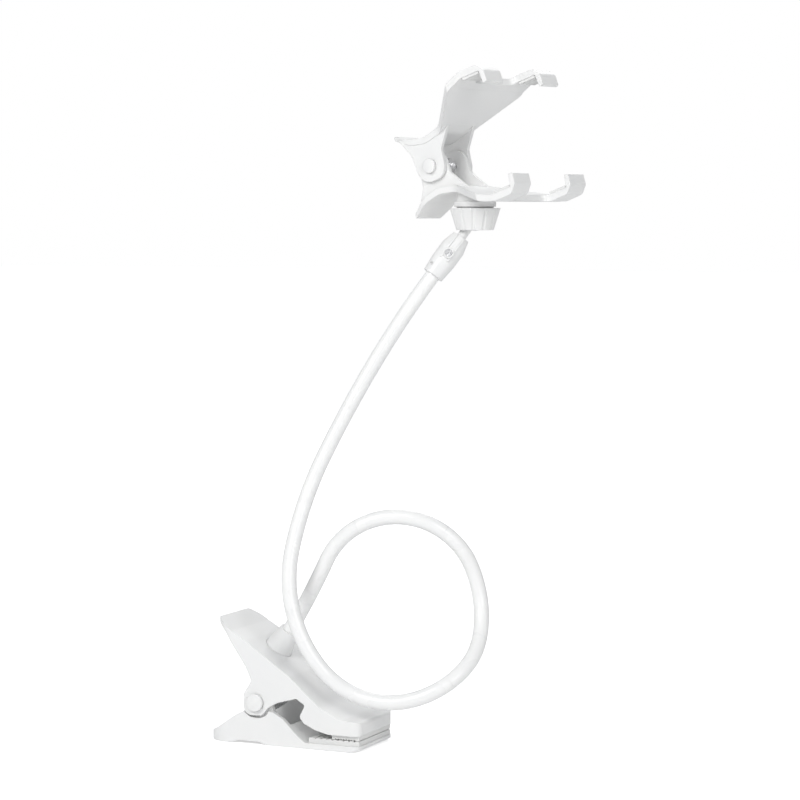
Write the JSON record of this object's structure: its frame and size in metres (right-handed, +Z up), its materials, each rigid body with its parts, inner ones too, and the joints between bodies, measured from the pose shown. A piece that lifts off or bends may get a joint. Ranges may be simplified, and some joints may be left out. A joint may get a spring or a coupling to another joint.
{
  "type": "gooseneck phone stand",
  "caption": "White phone holder: a spring table clamp carries a looped flexible gooseneck that ends in a ball joint with a sprung two-jaw phone clip.",
  "frame": {"origin": "on the table, on the flat sole of the clamp's lower lever, under the middle of the clamp", "axes": "+X from the clamp's handles towards its jaws, +Y to the left of someone looking along +X, +Z up"},
  "size_m": [0.1995, 0.1228, 0.3959],
  "materials": {
    "white_plastic": "smooth moulded white, low gloss",
    "neck_sleeve": "smooth white flexible sleeve",
    "neck_core": "bare soft wire",
    "bright_steel": "bright zinc plated",
    "soft_pad": "matt pale grey",
    "cup_nylon": "satin natural"
  },
  "bodies": {
    "base": {"lower_lever": "white_plastic", "lower_jaw_pad": "soft_pad", "clamp_pin": "bright_steel", "clamp_pin_cap": "bright_steel", "clamp_spring": "bright_steel"},
    "upper": {"upper_lever": "white_plastic", "upper_jaw_pad": "soft_pad", "neck_collar": "white_plastic", "neck_root_screw": "bright_steel", "neck_sleeve_01": "neck_sleeve", "neck_core_01": "neck_core"},
    "neck_02": {"neck_sleeve_02": "neck_sleeve", "neck_core_02": "neck_core"},
    "neck_03": {"neck_sleeve_03": "neck_sleeve", "neck_core_03": "neck_core"},
    "neck_04": {"neck_sleeve_04": "neck_sleeve", "neck_core_04": "neck_core"},
    "neck_05": {"neck_sleeve_05": "neck_sleeve", "neck_core_05": "neck_core"},
    "neck_06": {"neck_sleeve_06": "neck_sleeve", "neck_core_06": "neck_core"},
    "neck_07": {"neck_sleeve_07": "neck_sleeve", "neck_core_07": "neck_core"},
    "neck_08": {"neck_sleeve_08": "neck_sleeve", "neck_core_08": "neck_core"},
    "neck_09": {"neck_sleeve_09": "neck_sleeve", "neck_core_09": "neck_core"},
    "neck_10": {"neck_sleeve_10": "neck_sleeve", "neck_core_10": "neck_core", "end_sleeve_front": "white_plastic", "end_sleeve_back": "white_plastic", "end_sleeve_screw": "bright_steel"},
    "stud": {"ball_stud": "white_plastic"},
    "seat": {"ball_seat": "cup_nylon"},
    "clip_lower": {"lower_jaw": "white_plastic", "lower_grip_pads": "soft_pad", "clip_pin": "bright_steel", "clip_pin_cap": "bright_steel", "clip_spring": "bright_steel"},
    "nut": {"lock_nut": "white_plastic"},
    "clip_upper": {"upper_jaw": "white_plastic", "upper_grip_pads": "soft_pad"}
  },
  "joints": [
    {"name": "clamp_hinge", "type": "hinge", "parent": "base", "child": "upper", "pos_m": [-0.017, 0, 0.025], "axis": [0, -1, 0], "range_deg": [0, 40], "stiffness_Nm_per_rad": 0.9, "springref_deg": -34.38, "deforming": ["clamp_spring"]},
    {"name": "neck_bend_02", "type": "hinge", "parent": "upper", "child": "neck_02", "pos_m": [0.01747, 0.00048, 0.10773], "axis": [-0.2562, 0.9608, 0.106], "range_deg": [-14, 8]},
    {"name": "neck_bend_03", "type": "hinge", "parent": "neck_02", "child": "neck_03", "pos_m": [0.06294, 0.00963, 0.13463], "axis": [0.1368, -0.2326, 0.9629], "range_deg": [-14, 14]},
    {"name": "neck_bend_04", "type": "hinge", "parent": "neck_03", "child": "neck_04", "pos_m": [0.09857, 0.02644, 0.10667], "axis": [-0.9573, 0.1548, -0.244], "range_deg": [-8, 14]},
    {"name": "neck_bend_05", "type": "hinge", "parent": "neck_04", "child": "neck_05", "pos_m": [0.10829, 0.0119, 0.05928], "axis": [-0.9946, 0.0384, -0.0963], "range_deg": [-12, 14]},
    {"name": "neck_bend_06", "type": "hinge", "parent": "neck_05", "child": "neck_06", "pos_m": [0.07677, -0.01828, 0.03161], "axis": [0.1324, -0.9879, -0.081], "range_deg": [-14, 12]},
    {"name": "neck_bend_07", "type": "hinge", "parent": "neck_06", "child": "neck_07", "pos_m": [0.02562, -0.02665, 0.05013], "axis": [-0.6308, -0.512, -0.5831], "range_deg": [-14, 14]},
    {"name": "neck_bend_08", "type": "hinge", "parent": "neck_07", "child": "neck_08", "pos_m": [0.0057, -0.02114, 0.11581], "axis": [-0.2435, 0.9331, -0.2647], "range_deg": [-15, 15]},
    {"name": "neck_bend_09", "type": "hinge", "parent": "neck_08", "child": "neck_09", "pos_m": [0.01773, -0.00253, 0.17031], "axis": [0.9311, 0.0469, -0.3618], "range_deg": [-15, 15]},
    {"name": "neck_bend_10", "type": "hinge", "parent": "neck_09", "child": "neck_10", "pos_m": [0.04045, 0.01839, 0.22405], "axis": [-0.1786, 0.9403, -0.2897], "range_deg": [-15, 15]},
    {"name": "stem_spin", "type": "hinge", "parent": "neck_10", "child": "stud", "pos_m": [0.08941, 0.05375, 0.30864], "axis": [0.4977, 0.3404, 0.7978], "continuous": true},
    {"name": "ball_tilt", "type": "hinge", "parent": "stud", "child": "seat", "pos_m": [0.08941, 0.05375, 0.30864], "axis": [0.5645, -0.8255, 0], "range_deg": [-70, 0.5]},
    {"name": "ball_swivel", "type": "hinge", "parent": "seat", "child": "clip_lower", "pos_m": [0.08941, 0.05375, 0.30864], "axis": [0, 0, 1], "range_deg": [-160, 160]},
    {"name": "nut_turn", "type": "hinge", "parent": "clip_lower", "child": "nut", "pos_m": [0.08941, 0.05375, 0.30864], "axis": [0, 0, 1], "range_deg": [-180, 90]},
    {"name": "clip_hinge", "type": "hinge", "parent": "clip_lower", "child": "clip_upper", "pos_m": [0.06798, 0.05807, 0.33929], "axis": [-0.1977, -0.9803, 0], "range_deg": [-24, 16], "deforming": ["clip_spring"]}
  ]
}
